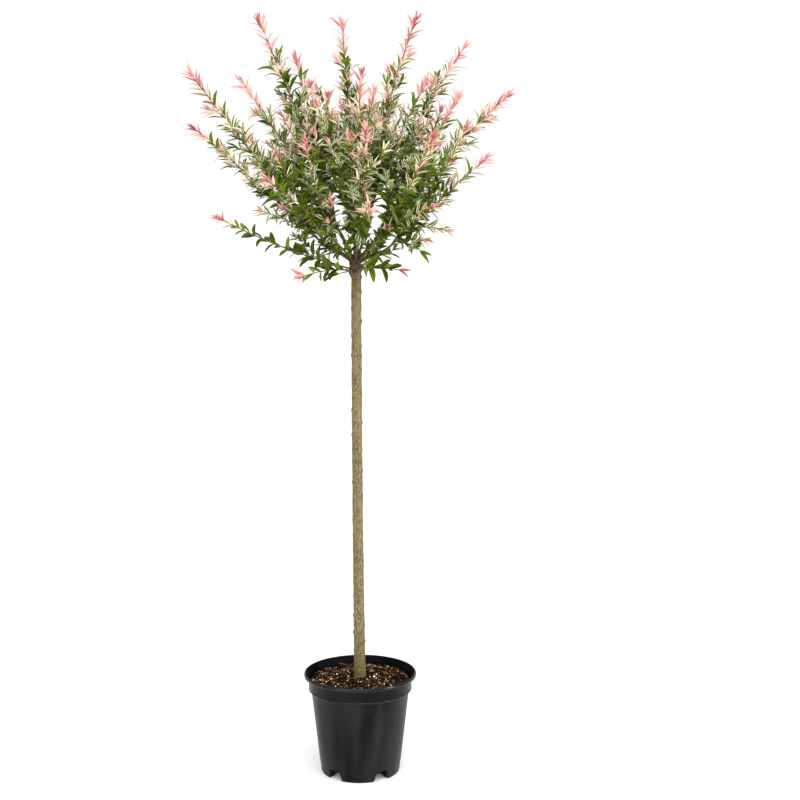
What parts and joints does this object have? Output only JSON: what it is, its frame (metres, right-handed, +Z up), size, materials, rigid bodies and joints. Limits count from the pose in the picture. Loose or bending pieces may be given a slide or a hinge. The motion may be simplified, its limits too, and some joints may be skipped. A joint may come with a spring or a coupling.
{
  "type": "potted dappled willow standard",
  "caption": "Young grafted willow on a straight bare stem with an airy pink, cream and green crown, in a black plastic nursery pot of peat.",
  "frame": {"origin": "centre of the pot's underside, on the floor", "axes": "+Z up along the stem, +X to the right as the picture shows the plant, and the picture's camera on the -Y side"},
  "size_m": [0.556, 0.5318, 1.2623],
  "materials": {
    "pot_plastic": "satin black, moulded",
    "peat": "rough, moist",
    "bark": "matte, finely streaked",
    "leaf_green": "soft satin",
    "leaf_cream": "soft satin",
    "leaf_pink": "soft satin"
  },
  "bodies": {
    "root": {"pot": "pot_plastic", "soil": "peat", "trunk": "bark", "bough_middle": "bark", "bough_upper_left": "bark", "bough_upper_right": "bark", "bough_upper_front": "bark", "bough_upper_back": "bark", "bough_back_left": "bark", "bough_right": "bark", "bough_back_right": "bark", "bough_back": "bark", "bough_left_back": "bark", "bough_left": "bark", "bough_left_front": "bark", "bough_front": "bark", "bough_front_right": "bark", "bough_low_right": "bark", "foliage_middle": "leaf_pink", "foliage_upper_left": "leaf_pink", "foliage_upper_right": "leaf_pink", "foliage_upper_front": "leaf_pink", "foliage_upper_back": "leaf_pink", "foliage_back_left": "leaf_cream", "foliage_right": "leaf_cream", "foliage_back_right": "leaf_cream", "foliage_back": "leaf_cream", "foliage_left_back": "leaf_green", "foliage_left": "leaf_cream", "foliage_left_front": "leaf_cream", "foliage_front": "leaf_cream", "foliage_front_right": "leaf_cream", "foliage_low_right": "leaf_green", "foliage_thin_left": "leaf_green", "foliage_hanging_left": "leaf_green", "foliage_hanging_right": "leaf_green", "foliage_hanging_back": "leaf_green"}
  },
  "joints": []
}
